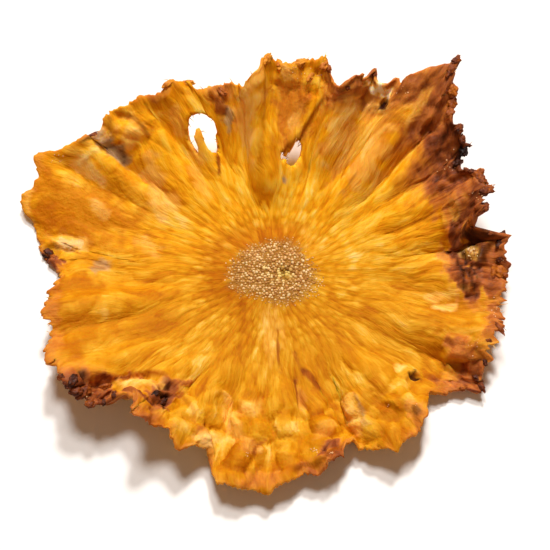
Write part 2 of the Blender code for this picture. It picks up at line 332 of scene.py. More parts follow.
# Partly the flesh's own grey patches, partly painted shade: the dot at 84.5 degrees stands in for
# shadowed floor seen through a tiny tear, and the thin streak at 300 degrees is a painted shadow
# beside the pale lump.
GREY_AND_PAINTED_SHADE_SPOTS = listed(
    Spot,
    (142.8, 36.8, 3.2, 1.5, 143, 1), (179, 31.2, 1.9, 1.2, 50, 0.7),
    (300, 31, 2.1, 0.32, 105, 0.45), (84.5, 17.4, 0.55, 0.42, 120, 0.9),
    (106.6, 28.4, 1.8, 0.5, 98, 0.8),
)
AMBER_SPOTS = listed(
    Spot,
    (84.5, 29, 5.6, 2.8, 86, 0.9), (90, 22, 3.4, 1.1, 88, 0.4), (66, 10, 2.6, 0.9, 175, 0.7),
    (153, 26.3, 2, 1, 150, 0.8), (161, 37, 11, 6, 160, 0.85), (164, 41, 6, 4, 170, 1),
    (148, 31, 6, 2.6, 150, 0.55), (175.5, 34.5, 1.6, 0.9, 150, 0.6), (187, 35, 5, 3, 178, 0.8),
    (199, 35, 6, 4, 10, 0.7), (203.5, 39.5, 5, 2.2, 112, 1), (190, 39, 4, 1.6, 100, 0.9),
    (208, 24, 5, 2, 25, 0.4), (245, 33.6, 1.8, 1.2, 130, 0.7), (254, 32, 1.6, 1, 60, 0.6),
    (268, 38, 6.4, 3.6, 178, 0.85), (280, 33.5, 3, 1.4, 10, 0.5), (305, 32, 2.4, 1.2, 100, 0.6),
    (309, 36, 2.6, 1.4, 30, 0.4), (322, 34.5, 3.4, 1.6, 10, 0.6), (346, 35.4, 5, 3.2, 160, 0.8),
    (341.4, 33.2, 5.4, 3.2, 165, 0.85), (41.5, 31, 4.6, 2.2, 45, 0.85),
    (333, 33, 3.6, 1.6, 150, 0.6), (352, 26, 4, 0.9, 175, 0.4), (19, 32, 4.2, 2.4, 20, 0.75),
    (32, 31, 5.4, 2.4, 34, 0.8), (50, 33, 4, 1.4, 50, 0.5), (60, 25, 3.6, 1.4, 60, 0.5),
    (72, 27, 3, 1.4, 75, 0.6),
)
SPOT_RAGGED = 0.70          # how uneven the outlines of spots are

# Areas where the flesh has dried smooth, and areas where it has dried in soft lumps
SMOOTH_AREAS = listed(
    Spot,
    (163, 38, 12, 8, 165, 0.95), (150, 33, 9, 5, 150, 0.75), (204, 33, 12, 7, 25, 0.75),
    (187, 33, 8, 4, 5, 0.8), (130, 27, 8, 5, 125, 0.5), (85, 29, 6, 3.4, 86, 0.65),
    (345, 35.5, 6.5, 4, 100, 0.55), (309.5, 33.6, 5, 4, 40, 0.8),
)
LUMPY_AREAS = listed(
    Spot,
    (262, 33, 11, 7, 10, 1), (240, 33, 6, 5, 40, 0.9), (290, 33, 9, 6, 20, 0.9),
    (312, 34, 6, 5, 40, 0.6), (327, 36, 7, 5, 60, 0.7), (80, 33, 6, 3, 170, 0.8),
    (45, 38, 10, 4, 130, 0.5), (137, 37, 6, 4, 40, 0.6),
)

# Bulges and pockets of the whole sheet: the rise in the middle and of the lip round it
LIP_PLACE = 1.1             # the lip's place and half width, in parts of the oval's size
LIP_WIDTH = 0.26
Pocket = namedtuple("Pocket", "angle radius length width heading middle lip")
POCKETS = listed(
    Pocket,
    (224.8, 32.9, 3.7, 1.8, -12, 0.8, -0.5), (39.5, 28.5, 10, 2.4, 39, -0.7, 0),
    (47, 28, 9, 2.2, 46, 0.45, 0), (143.5, 31, 10, 2.4, 144, -0.6, 0),
    (136, 35.8, 3.4, 2.9, 40, 1.1, -0.35), (15.5, 32.9, 2.3, 1.15, 82, -0.7, 0.6),
    (4.2, 34.9, 1.5, 1.4, 0, 0.7, -0.5), (309.5, 33.6, 3.2, 2.6, 40, 0.9, -0.3),
    (55, 35.1, 1.3, 1.1, 60, -1, 0.4), (318.8, 31.6, 1.2, 0.7, -8, -0.6, 0.4),
    (174.5, 40, 2, 1.6, 120, -0.7, 0.5), (108, 31, 1.6, 1.4, 90, 0.5, -0.2),
    (41.8, 36.2, 2, 0.8, 64, -0.5, 0.4), (297, 30.8, 2.6, 1.2, 101, 0.25, -0.1),
    (258, 29.5, 2.8, 1.4, 120, 0.4, -0.2), (171, 37.6, 2.6, 1.4, 160, 0.4, -0.3),
    (142.5, 27.6, 3.3, 1.5, 120, 0.3, -0.2), (331.5, 37, 2.6, 1.6, 140, -0.6, 0.6),
    (217.5, 38.4, 3.4, 2, 25, -0.7, 0.7), (214.4, 40.2, 1.2, 0.9, 100, -0.8, 0.3),
    (233.4, 31.9, 1.6, 0.8, 20, -0.9, 0.3),
)

# Sharp folds: middle of the chord, half length, heading, how far the line bows out to
# the left of its heading, how much the left side stands above the right, and darkness of the
# painted shade along it
Fold = namedtuple("Fold", "angle radius length heading bow step dark")
FOLDS = listed(
    Fold,
    (94.6, 25, 7.5, 91, 0, 0.5, 0.35), (76.2, 27.2, 4.6, 55, 0.3, 0.35, 0.75),
    (83.5, 23.4, 2.6, 42, -0.3, 0.35, 0.6), (134.9, 36.3, 3.4, -32, 1.1, 0.45, 0.3),
    (139.9, 39.7, 1.7, -106, 1, 0.4, 0.5), (144.4, 39.6, 2.2, 140, 0.2, -0.24, 0.45),
    (334.4, 36.2, 3.6, -50, 1.6, -0.6, 0.8), (331.5, 37.6, 2, -40, 0.3, 0.3, 0.4),
    (265.4, 33.5, 1.8, 52, 0.5, -0.5, 0.95), (279.3, 37.6, 2.9, 9, 0.2, 0.5, 0.9),
    (285.8, 36.4, 1.9, 52, -0.2, 0.45, 0.8), (251, 33.6, 3.4, 105, 0.5, 0.45, 0.3),
    (241, 31, 3.6, 112, -0.6, -0.4, 0.45), (224.5, 31.2, 3.9, -3, 1, 0.5, 1),
    (227, 34.8, 3.9, -24, -0.7, -0.45, 1), (302, 31.5, 3, 105, 0.4, 0.45, 0.3),
    (318.6, 31.7, 1.4, 20, 0.4, 0.4, 0.6), (158, 34, 5, 152, -0.8, 0.15, 0.25),
    (165, 33, 4.5, 158, 0.6, 0.15, 0.25), (169.5, 38.5, 3, 170, 0.5, 0.15, 0.25),
    (128, 33, 4, 120, 0.4, 0.35, 0.2), (172, 38.8, 2.4, 150, 0.5, -0.35, 0.45),
    (180, 34, 4.5, 5, 0.4, -0.35, 0.2), (24, 35, 4, 30, 0.4, 0.4, 0.3),
    (47, 36.5, 5, 52, 0.4, -0.4, 0.3), (41, 36, 2.2, 70, 0.5, 0.4, 0.7),
    (13.2, 33.8, 1.9, 88, 0.2, 0.5, 0.25), (9.5, 34.4, 2.4, 60, -0.3, 0.5, 0.7),
    (356, 34.4, 3, 112, 0.4, 0.5, 0.7), (2.5, 38, 2.8, 70, 0.4, 0.55, 0.6),
)
FOLD_WIDTH = 2.2            # how far a fold's step is felt to each side
FOLD_SHARPNESS = 0.30
FOLD_LINE = 0.32            # half width of the painted shade line in a fold
FOLD_LINE_END = 1.2         # where that line ends, in parts of the fold's half length
FOLD_LINE_FADE = 0.4

# Longer points of the rim, and its finely saw-toothed and its lumpy stretches
Spike = namedtuple("Spike", "angle half_width length")
SPIKES = listed(
    Spike,
    (6.5, 2, 1.7), (359.5, 2.6, 1.3), (16.5, 1.2, 0.9), (22.5, 0.9, 0.8), (46.3, 1.3, 1.2),
    (56, 1.2, 1.1), (61.8, 1.4, 1.1), (66, 0.9, 0.6), (301, 1.6, 1.2), (326.8, 1.1, 1.8),
    (334.2, 1, 1.5), (195.3, 0.9, 0.9), (203.5, 0.8, 0.5), (154, 1.5, 0.6), (116, 1, 0.5),
    (120.5, 1.4, 0.6), (73.3, 1.2, 0.7), (93.4, 1.4, 0.7), (269.5, 1.6, 0.5), (355, 0.6, 0.7),
    (350.5, 0.6, 0.6), (346, 0.6, 0.7), (342, 0.6, 0.7), (338, 0.6, 0.6),
)
Saw = namedtuple("Saw", "angle half_width strength")
SAWS = listed(Saw, (346, 14, 0.8), (197, 16, 0.9), (17, 8, 0.8), (285, 16, 0.5))
LUMPS = listed(Saw, (32, 13, 1.0), (48, 5, 0.8), (216, 11, 1.0), (305, 10, 0.7))
TEETH = 0.35                # strength of the teeth elsewhere

# Cells of the flesh: width, length and the number of their own pattern
STRIPS = (3.0, 11.0, 31)
CLUMPS = (1.3, 5.5, 32)
STROKES = (0.72, 3.0, 33)
SACS = (1.15, 2.2, 37)      # plump juice sacs beside the core
BLOTCHES = (4.2, 4.6, 35)
DABS = (2.0, 2.4, 36)
BLISTERS = (1.4, 1.3, 34)   # of the browned rim
CELLS_REACH = 60.0          # the rows of cells go out this far
CELL_MARGIN = 0.08          # a cell's middle keeps this far from the sides of its box,
CELL_SPREAD = 0.84          # and wanders over this much of it
CELL_LEAST = 0.80           # how large the smallest cell is for its box,
CELL_SWING = 0.45           # and how much larger the largest one is
CELL_STEEPNESS = 1.6        # how soon a cell's inside counts as its middle
LATTICE_SCALE = 1.5         # brings the noise to about -1 to 1

CORE = Spot(0.0, 0.0, 8.2, 6.3, -8.0, 1.0)      # its length falls a little to the right
PIT = (1.95, -0.45)         # the softer hollow beside the core's middle, in plan
PIT_RADIUS = 1.6
PIT_DEPTH = 0.95
DOME_HEIGHT = 0.28


def lattice(turn, along, around, rows, seed):
    """Gradient noise, about -1 to 1. turn closes on itself; along runs from 0 to 1."""
    draw = np.random.default_rng(SEED * 1000 + seed)
    tilt = draw.uniform(0.0, 2.0 * math.pi, (rows + 3, around))
    u = (turn % 1.0) * around
    v = np.clip(along, 0.0, 1.2) * rows
    column = np.floor(u).astype(int)
    row = np.minimum(np.floor(v).astype(int), rows + 1)
    du, dv = u - column, v - row
    ease_u = du ** 3 * (du * (du * 6 - 15) + 10)
    ease_v = dv ** 3 * (dv * (dv * 6 - 15) + 10)
    total = 0.0
    for step_u, weight_u in ((0, 1 - ease_u), (1, ease_u)):
        for step_v, weight_v in ((0, 1 - ease_v), (1, ease_v)):
            lean = tilt[row + step_v, (column + step_u) % around]
            slope = np.cos(lean) * (du - step_u) + np.sin(lean) * (dv - step_v)
            total = total + slope * weight_u * weight_v
    return total * LATTICE_SCALE


def layered(turn, along, *layers):
    """Sum of gradient noises, each of a height, columns around, rows and a seed."""
    return sum(height * lattice(turn, along, *layer) for height, *layer in layers)


def cells(turn, radius, width, length, seed):
    """Uneven cells laid along the spokes, about width wide and length long everywhere.

    Gives a number from 0 to 1 that is each cell's own, and how far inside its cell a
    point is: 0 on the outline, about 1 in the middle.
    """
    draw = np.random.default_rng(SEED * 1000 + seed)
    rows = int(CELLS_REACH / length) + 3
    counts = np.array([max(3, round(2.0 * math.pi * (row + 0.5) * length / width))
                       for row in range(rows)])
    starts = np.concatenate([[0], np.cumsum(counts)])
    side, ahead, size, own = draw.uniform(0.0, 1.0, (4, starts[-1]))
    nearest = np.full(radius.shape, 9.0)
    second = np.full(radius.shape, 9.0)
    value = np.zeros(radius.shape)
    here = np.clip((radius / length).astype(int), 0, rows - 2)
    for row_step in (-1, 0, 1):
        row = np.maximum(here + row_step, 0)
        around = counts[row]
        column = np.floor((turn % 1.0) * around).astype(int)
        for column_step in (-1, 0, 1):
            index = starts[row] + (column + column_step) % around
            middle = (column + column_step + CELL_MARGIN + CELL_SPREAD * side[index]) / around
            gap = (turn % 1.0 - middle + 0.5) % 1.0 - 0.5
            across = gap * 2.0 * math.pi * radius / width
            along = radius / length - (row + CELL_MARGIN + CELL_SPREAD * ahead[index])
            distance = np.hypot(across, along) / (CELL_LEAST + CELL_SWING * size[index])
            closer = distance < nearest
            second = np.where(closer, nearest, np.minimum(second, distance))
            value = np.where(closer, own[index], value)
            nearest = np.where(closer, distance, nearest)
    return value, np.clip((second - nearest) * CELL_STEEPNESS, 0.0, 1.0)


def spot_axes(spot, x, y):
    """How far ahead along the spot's heading and how far to its left each point is."""
    heading = math.radians(spot.heading)
    middle_x, middle_y = in_plan(spot.angle, spot.radius)
    right, far = x - middle_x, y - middle_y
    return (right * math.cos(heading) + far * math.sin(heading),
            far * math.cos(heading) - right * math.sin(heading))


def spot_distance(spot, x, y):
    """0 in the oval's middle and 1 on its outline."""
    along, across = spot_axes(spot, x, y)
    return np.hypot(along / spot.length, across / spot.width)


def fold_distance(fold, x, y):
    """Signed distance from the bowed line, and the share of the half length."""
    along, across = spot_axes(fold, x, y)
    share = np.abs(along / fold.length)
    return across - fold.bow * (1.0 - share ** 2), share


def folds_mask(x, y):
    """How strongly each point lies in the painted shade line of a fold."""
    mask = np.zeros_like(x)
    for fold in FOLDS:
        off_line, along = fold_distance(fold, x, y)
        fade = smooth_step((FOLD_LINE_END - along) / FOLD_LINE_FADE)
        line = np.exp(-(off_line / FOLD_LINE) ** 2) * fade
        mask = np.maximum(mask, fold.dark * line)
    return mask


def spots_mask(spots, softness, x, y, rough):
    """How strongly each point carries any of the spots, their outlines made uneven."""
    mask = np.zeros_like(x)
    for spot in spots:
        inside = 1.0 + 0.5 * softness + rough * SPOT_RAGGED - spot_distance(spot, x, y)
        mask = np.maximum(mask, spot.strength * smooth_step(inside, 0.0, softness))
    return mask


def browned_mask(angle, share, rough):
    uneven = share + rough * 0.02
    mask = RIM_LINE_STRENGTH * smooth_step(uneven, RIM_LINE_START, RIM_LINE_WIDTH)
    for area in BROWNED:
        side = smooth_step(1.35 - np.abs(angle_gap(angle, area.angle)) / area.half_width)
        start = 1.0 - area.depth * (0.45 + 0.55 * side)
        depth = smooth_step(share + rough * 0.05, start, 0.55 * area.depth + 0.02)
        mask = np.maximum(mask, area.strength * side * depth)
    return mask


def sheet_relief(x, y):
    """Rise of the whole sheet in pockets, bulges and folds."""
    height = np.zeros_like(x)
    for pocket in POCKETS:
        distance = spot_distance(pocket, x, y)
        height += pocket.middle * (1.0 - smooth_step(distance))
        height += pocket.lip * np.exp(-((distance - LIP_PLACE) / LIP_WIDTH) ** 2)
    for fold in FOLDS:
        off_line, along = fold_distance(fold, x, y)
        fade = np.exp(-along ** 4 - (off_line / FOLD_WIDTH) ** 2)
        height += fold.step * np.tanh(off_line / FOLD_SHARPNESS) * fade
    return height


def core_outline(turned):
    """The core's outline wanders in and out of its oval."""
    return 0.07 * np.sin(3.0 * turned + 1.0) + 0.05 * np.sin(5.0 * turned - 0.6)


def core_mask(x, y, turn, share):
    frayed = 0.12 * lattice(turn, share, 90, 8, 91) + core_outline(np.arctan2(y, x))
    return 1.0 - smooth_step(spot_distance(CORE, x, y) + frayed, 0.74, 0.34)


def core_ring(x, y):
    """Deeper flesh round the core, widest at its far and left side."""
    side = smooth_step(0.62 + 0.62 * np.cos(np.arctan2(y, x) - math.radians(140.0)))
    return 0.9 * side * smooth_step((1.95 - spot_distance(CORE, x, y)) / 0.8)


def core_rise(x, y):
    """The core is a low uneven dome with a pit beside its middle."""
    dome = DOME_HEIGHT * (1.0 - smooth_step(spot_distance(CORE, x, y)))
    pit = PIT_DEPTH * np.exp(-((x - PIT[0]) ** 2 + (y - PIT[1]) ** 2) / PIT_RADIUS ** 2)
    return dome - pit


def swings(*parts):
    """Sum of values from 0 to 1, each counted from its middle and by its weight."""
    return sum(weight * (value - 0.5) for weight, value in parts)


class Surface:
    """Everything that is known at each point of the fine slice."""

    def __init__(self, angle, share):
        self.angle, self.share, self.turn = angle, share, angle / 360.0
        self.low = lower_face(angle, share)
        self.x, self.y = self.low[:, 0], self.low[:, 1]
        self.radius = np.hypot(self.x, self.y)
        self.edge = smooth_step(share, RIM_ZONE, RIM_ZONE_WIDTH)
        self.outer = smooth_step(self.radius / 11.0 - 1.1)
        self.bend_fibres()
        self.mark()
        self.shape_relief()

    def bend_fibres(self):
        """Fibres wander a little to each side of their spoke."""
        turn, share = self.turn, self.share
        wander = layered(turn, share, (3.2, 11, 4, 11), (1.3, 34, 7, 12), (0.45, 80, 15, 13))
        self.fibre_turn = turn + wander * smooth_step(share * 2.0) / 360.0
        self.fibre = np.stack([*in_plan(self.fibre_turn * 360.0, 6.0), self.radius / 44.0], axis=-1)
        self.rough = layered(turn, share, (1.0, 60, 16, 21), (0.6, 150, 40, 22))

    def mark(self):
        """How strongly each point carries each kind of mark, from 0 to 1."""
        place = self.x, self.y, self.rough
        x, y = place[:2]
        self.brown = np.maximum(browned_mask(self.angle, self.share, self.rough),
                                spots_mask(BROWN_SPOTS, 0.5, *place))
        self.dark = spots_mask(DARK_SPOTS, 0.5, *place)
        self.pale_and_painted_light = spots_mask(PALE_AND_PAINTED_LIGHT_SPOTS, 0.7, *place)
        self.grey_and_painted_shade = spots_mask(GREY_AND_PAINTED_SHADE_SPOTS, 0.8, *place)
        self.amber = np.maximum(spots_mask(AMBER_SPOTS, 1.1, *place), 0.55 * self.edge ** 2)
        self.amber = np.maximum(self.amber, core_ring(x, y))
        # The crease mark darkens the flesh along the folds and the listed fine creases: painted
        # shade in the creases.
        self.crease = np.maximum(folds_mask(x, y), spots_mask(LINE_SPOTS, 0.9, *place))
        self.core = core_mask(x, y, self.turn, self.share)
        # Painted light: the flesh is coloured lighter towards the far side, whose slopes face away
        # from the lamps, and darker on the near side.
        self.painted_far_light = smooth_step(0.34 + y / 34.0)
        self.smooth = spots_mask(SMOOTH_AREAS, 1.2, *place)
        self.lumpy = spots_mask(LUMPY_AREAS, 1.0, *place)
        self.fibrous = (1.0 - 0.65 * self.smooth) * (1.0 - 0.78 * self.lumpy)

    def shape_relief(self):
        """Tone of the flesh, relief of its upper face and sway of the whole sheet."""
        turn, radius, share = self.fibre_turn, self.radius, self.share
        strips, strip_inside = cells(turn, radius, *STRIPS)
        clumps, clump_inside = cells(turn, radius, *CLUMPS)
        strokes, stroke_inside = cells(turn, radius, *STROKES)
        sacs, sac_inside = cells(turn, radius, *SACS)
        blotches, blotch_inside = cells(turn, radius, *BLOTCHES)
        dabs, dab_inside = cells(turn, radius, *DABS)
        blisters, blister_inside = cells(self.turn, radius, *BLISTERS)
        strong = smooth_step(share, 0.22, 0.25)
        beside_core = smooth_step((22.0 - radius) / 10.0)
        outside_core = smooth_step(radius, 6.0, 3.0)
        strip_seam = np.exp(-strip_inside / 0.14)
        clump_seam = np.exp(-clump_inside / 0.20)

        # Beside each cell's own random tone, the tone darkens on the strip seams and lightens
        # inside the cells, sacs, blotches and blisters, in step with the relief and the lumps:
        # partly the flesh's own lighter pulp and darker gaps, partly painted highlight on the
        # raised parts and painted shade in the valleys.
        fibres = swings((0.20, strips), (0.26, clumps), (0.12, clump_inside), (0.20, strokes),
                        (0.08, stroke_inside)) - 0.15 * strip_seam * strong
        sac_tone = swings((0.34, sacs), (0.26, sac_inside))
        fibres = fibres * (1.0 - 0.5 * beside_core) + sac_tone * beside_core
        soft = swings((0.42, blotches), (0.26, blotch_inside), (0.34, dabs))
        blistered = 0.30 * (blisters - 0.5) + 0.20 * (blister_inside - 0.4)
        tone = 0.54 + 0.10 * lattice(self.turn, share, 9, 3, 60) + fibres * self.fibrous
        tone = tone + soft * (0.18 + 0.16 * self.smooth + 0.95 * self.lumpy)
        self.tone = np.clip(tone + self.brown * blistered, 0.0, 1.0)

        relief = 0.20 * (1.0 - strip_seam) * strong + 0.16 * (1.0 - clump_seam)
        relief = relief + 0.07 * np.sqrt(stroke_inside) - 0.22
        relief = relief * (0.75 + 0.25 * strong) * outside_core * self.fibrous
        relief = relief + 0.28 * self.lumpy * (np.sqrt(dab_inside) - 0.5)
        relief = relief + 0.20 * (np.sqrt(sac_inside) - 0.6) * beside_core * outside_core
        self.relief = relief + 0.34 * self.brown * (np.sqrt(blister_inside) - 0.5)

        pleat = lattice(self.turn, share, 34, 3, 61) * 0.7 * smooth_step(share, 0.35, 0.4)
        crumple = layered(self.turn, share, (0.9, 70, 12, 71), (0.5, 160, 26, 72))
        shrivel = 0.34 * self.edge + 0.75 * self.brown
        lumps = 1.2 * self.lumpy * (np.sqrt(blotch_inside) - 0.55)
        self.sway = pleat + crumple * shrivel + lumps + sheet_relief(self.x, self.y)


def polar_grid():
    """Angle and share of each point, and the faces that join the rings."""
    shares = np.linspace(0.0, 1.0, RINGS + 1)[1:] ** RING_EVENNESS
    counts = [RIM_STEPS // 2 ** sum(share <= halving for halving in RING_HALVINGS)
              for share in shares]
    starts = np.cumsum([1] + counts).tolist()
    angles = [[0.0]] + [np.arange(count) * 360.0 / count for count in counts]
    faces = [(0, 1 + i, 1 + (i + 1) % counts[0]) for i in range(counts[0])]
    for inner, outer, n_in, n_out in zip(starts, starts[1:], counts, counts[1:]):
        for i in range(n_in):
            j = (i + 1) % n_in
            if n_in == n_out:
                faces.append((inner + i, outer + i, outer + j, inner + j))
            else:
                a, b, c = outer + 2 * i, outer + 2 * i + 1, outer + (2 * i + 2) % n_out
                faces += [(inner + i, a, b), (inner + i, b, inner + j), (inner + j, b, c)]
    return np.concatenate(angles), np.repeat([0.0, *shares], [1] + counts), faces


def torn_depth(x, y, rough):
    """Below 0 inside a torn hole, above 0 on the flesh."""
    depths = [(spot_distance(tear, x, y) - 1.0) * tear.width for tear in TORN]
    return np.min(depths, axis=0) + TEAR_RAGGED * rough


def hole_edge_shift(surface, beside):
    """Moves the points beside a hole onto its outline, in plan."""
    x, y, rough = surface.x[beside], surface.y[beside], surface.rough[beside]
    for _ in range(SHIFT_ROUNDS):
        depth = torn_depth(x, y, rough)
        slope_x = (torn_depth(x + TEAR_STEP, y, rough) - depth) / TEAR_STEP
        slope_y = (torn_depth(x, y + TEAR_STEP, rough) - depth) / TEAR_STEP
        steep = np.maximum(slope_x ** 2 + slope_y ** 2, LEAST_STEEPNESS)
        x, y = x - depth * slope_x / steep, y - depth * slope_y / steep
    shift = np.zeros_like(surface.low)
    shift[beside, 0] = np.clip(x - surface.x[beside], -MOST_SHIFT, MOST_SHIFT)
    shift[beside, 1] = np.clip(y - surface.y[beside], -MOST_SHIFT, MOST_SHIFT)
    return shift


def stretches(angle, areas):
    strength = np.zeros_like(angle)
    for area in areas:
        gap = np.abs(angle_gap(angle, area.angle)) / area.half_width
        strength = np.maximum(strength, area.strength * smooth_step(1.4 - gap))
    return strength


def rim_push(surface):
    """How far teeth, lumps, frayed fibre ends and points move the rim along its spokes."""
    turn, share = surface.turn, surface.share
    rounded = stretches(surface.angle, LUMPS)
    saw = np.maximum(stretches(surface.angle, SAWS), TEETH) * (1.0 - rounded)
    coarse = 0.35 - np.abs(lattice(turn, share, 150, 3, 81)) * 1.8
    fine = 0.35 - np.abs(lattice(turn, share, 300, 5, 82)) * 1.8
    lumps = np.sqrt(np.abs(lattice(turn, share, 110, 3, 84))) - 0.5
    teeth = 0.9 * lattice(turn, share, 64, 2, 83) + 1.2 * saw * coarse + 0.9 * saw * fine
    push = (teeth + 1.1 * rounded * lumps) * smooth_step(share, 0.92, 0.08)
    for spike in SPIKES:
        gap = np.abs(angle_gap(surface.angle, spike.angle)) / spike.half_width
        push = push + spike.length * np.clip(1.0 - gap, 0.0, 1.0) * smooth_step(share, 0.88, 0.12)
    return push


def outward_normals(angle, share):
    """Unit normals of the smooth slice, pointing up out of the cup."""
    step_angle, step_share = 0.25, 0.004
    share = np.clip(share, 0.03, 1.0 - step_share)
    around = lower_face(angle + step_angle, share) - lower_face(angle - step_angle, share)
    along = lower_face(angle, share + step_share) - lower_face(angle, share - step_share)
    normals = unit_length(np.cross(along, around))
    normals[0] = (0.0, 0.0, 1.0)
    return normals


def make_object(name, points, faces, material, attributes):
    mesh = bpy.data.meshes.new(name)
    mesh.from_pydata((np.asarray(points) * MM).tolist(), [], faces)
    mesh.validate()
    for label, values in attributes.items():
        kind, key = ("FLOAT", "value") if values.ndim == 1 else ("FLOAT_VECTOR", "vector")
        layer = mesh.attributes.new(label, kind, "POINT")
        layer.data.foreach_set(key, values.astype(np.float32).ravel())
    mesh.materials.append(material)
    mesh.shade_smooth()
    item = bpy.data.objects.new(name, mesh)
    bpy.context.scene.collection.objects.link(item)
    return item


def make_piece(name, points, faces, material, attributes):
    """Makes an object that rides on the slice's body and has its material slot."""
    item = make_object(name, points, faces, material, attributes)
    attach(item, BODY)
    return item


def build_slice(material):
    """The slice itself. Gives its upper face and the middle line of the holes' edges."""
    angle, share, faces = polar_grid()
    surface = Surface(angle, share)
    up = outward_normals(angle, share)
    outward = np.stack([*in_plan(angle, 1.0), np.zeros_like(angle)], axis=-1)

    free = smooth_step(surface.radius, FLAT_RADIUS, FLAT_EASE)
    thick = thickness_at(share, surface.radius)
    half = 0.5 * thick * (1.0 - EDGE_TAPER * smooth_step(share, TAPER_START, TAPER_WIDTH))
    middle = surface.low + up * (0.5 * thick + surface.sway * free)[:, None]
    middle = middle + rim_push(surface)[:, None] * outward
    top = middle + up * (half + surface.relief)[:, None]
    bottom = middle - up * (half + 0.5 * surface.relief * free)[:, None]
    bottom[:, 2] = np.maximum(bottom[:, 2], 0.0)
    top[:, 2] += core_rise(surface.x, surface.y) * smooth_step(2.0 - surface.radius / 6.0)
    top[:, 2] = np.maximum(top[:, 2], bottom[:, 2] + LEAST_THICKNESS)

    torn = torn_depth(surface.x, surface.y, surface.rough) < 0.0
    cut = [face for face in faces if any(torn[index] for index in face)]
    kept = [face for face in faces if not any(torn[index] for index in face)]
    beside = sorted({index for face in cut for index in face if not torn[index]})
    shift = hole_edge_shift(surface, beside)
    top, bottom = top + shift, bottom + shift
    used = np.zeros(len(angle), dtype=bool)
    used[[index for face in kept for index in face]] = True
    number = (np.cumsum(used) - 1).tolist()
    count = number[-1] + 1

    upper = [tuple(number[index] for index in face) for face in kept]
    lower = [tuple(index + count for index in reversed(face)) for face in upper]
    sides = dict.fromkeys(side for face in upper for side in zip(face, face[1:] + face[:1]))
    walls = [(b, a, a + count, b + count) for a, b in sides if (b, a) not in sides]
    names = ("tone", "brown", "dark", "pale_and_painted_light", "grey_and_painted_shade", "amber", "painted_far_light", "crease", "fibrous",
             "outer", "core", "fibre")
    marks = {name: np.concatenate([getattr(surface, name)[used]] * 2) for name in names}
    item = make_piece("flower", np.concatenate([top[used], bottom[used]]),
                      upper + lower + walls, material, marks)
    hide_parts(NODE)
    edge = [index for index in beside if used[index]]
    return Ground(top[used]), 0.5 * (top + bottom)[edge]


# ---------------------------------------------------------------- small pieces
class Ground:
    """The slice's upper face, on which small pieces are set."""

    def __init__(self, points):
        self.points = points
        self.tree = kdtree.KDTree(len(points))
        for index, point in enumerate(points):
            self.tree.insert((point[0], point[1], 0.0), index)
        self.tree.balance()

    def under(self, x, y):
        """The point of the face nearest in plan; past the rim that is a rim point."""
        return self.points[self.tree.find((x, y, 0.0))[1]]

    def at(self, angle, radius):
        return self.under(*in_plan(angle, radius))


GRAIN_PITCH = 0.53
GRAIN_SHIFT = 0.11          # how far grains stand from an even pattern
GRAIN_SIZES = (0.18, 0.28)
GRAINS_LEFT_OUT = 0.03      # the share of them that has fallen out
GRAINY = Spot(3.6, 35.0, 1.15, 1.15, 0, 1)      # a clump of the same grains in the browned rim
CLUMP_GRAINS = 46

# Shrivelled knobs of browned flesh on the rim: place, half length and half width,
# heading, and how dark they are
Knob = namedtuple("Knob", "angle radius length width heading dark")
KNOBS = listed(
    Knob,
    (45.8, 45.8, 2.3, 0.8, 62, 0.5), (46.6, 47, 0.9, 0.55, 20, 0.6),
    (43.2, 43.4, 1.4, 1, 110, 0.3), (41.2, 42.1, 1.3, 0.9, 100, 0.35),
    (37.6, 40.6, 1, 0.7, 60, 0.45), (34.6, 39.8, 0.8, 0.55, 60, 0.6),
    (32.2, 39.5, 0.9, 0.6, 90, 0.6), (29.2, 38.7, 1.3, 0.7, 95, 1),
    (27.5, 37.8, 0.6, 0.45, 0, 0.9), (21.1, 39.2, 1.6, 0.9, -40, 0.45),
    (16, 38.9, 1.3, 0.6, 10, 0.6), (13.4, 38, 1, 0.7, 80, 0.5), (6.2, 40.6, 1.6, 0.7, 75, 0.8),
    (358.8, 40, 2.2, 1.5, 100, 0.3), (356.8, 40.8, 0.8, 0.5, -30, 0.5),
    (341.1, 41.2, 1.2, 0.4, -60, 0.5), (328.8, 41.8, 1.3, 0.5, -70, 0.65),
    (215.5, 41.8, 1.3, 0.7, 60, 0.8), (218, 37.4, 1.5, 0.7, 10, 0.4),
    (218.4, 40.8, 1.5, 1, 40, 0.55), (219.8, 43.3, 1.2, 0.8, 10, 0.6),
    (222.8, 41.4, 0.9, 0.6, 0, 0.55), (232.1, 32.4, 0.9, 0.45, 30, 0.85),
    (234.6, 32.6, 1, 0.45, 40, 0.8), (173.4, 41, 1.7, 0.8, 120, 0.72),
    (175.6, 39.6, 1.7, 0.9, 165, 0.42), (144, 41.3, 1.7, 0.32, 35, 0.62),
    (142.6, 40.8, 1.3, 0.3, 20, 0.55), (92.5, 35.2, 1.2, 0.7, 60, 0.06),
    (88.5, 34.6, 1, 0.6, 100, 0.1), (82, 35.4, 1.4, 0.8, 20, 0.04),
    (78.6, 33.8, 1.3, 0.5, 60, 0.12), (75.8, 36, 1.2, 0.8, 80, 0.16),
    (73.6, 35.6, 0.8, 0.5, 100, 0.4), (116, 35.6, 1.1, 0.6, 10, 0.08),
    (122, 37.4, 1.2, 0.6, 40, 0.1), (107, 31.6, 1.2, 0.6, 130, 0.35),
)
# Stretches of rim with many small knobs, or with many frayed fibres: from, to, how many
Stretch = namedtuple("Stretch", "start end count")
KNOBBLY = listed(Stretch, (12, 42, 16), (60, 66, 2), (213, 226, 8), (325, 337, 4), (-4, 8, 4))
FRAYED = listed(Stretch, (336, 358, 12), (186, 204, 9), (10, 60, 12), (72, 126, 12))
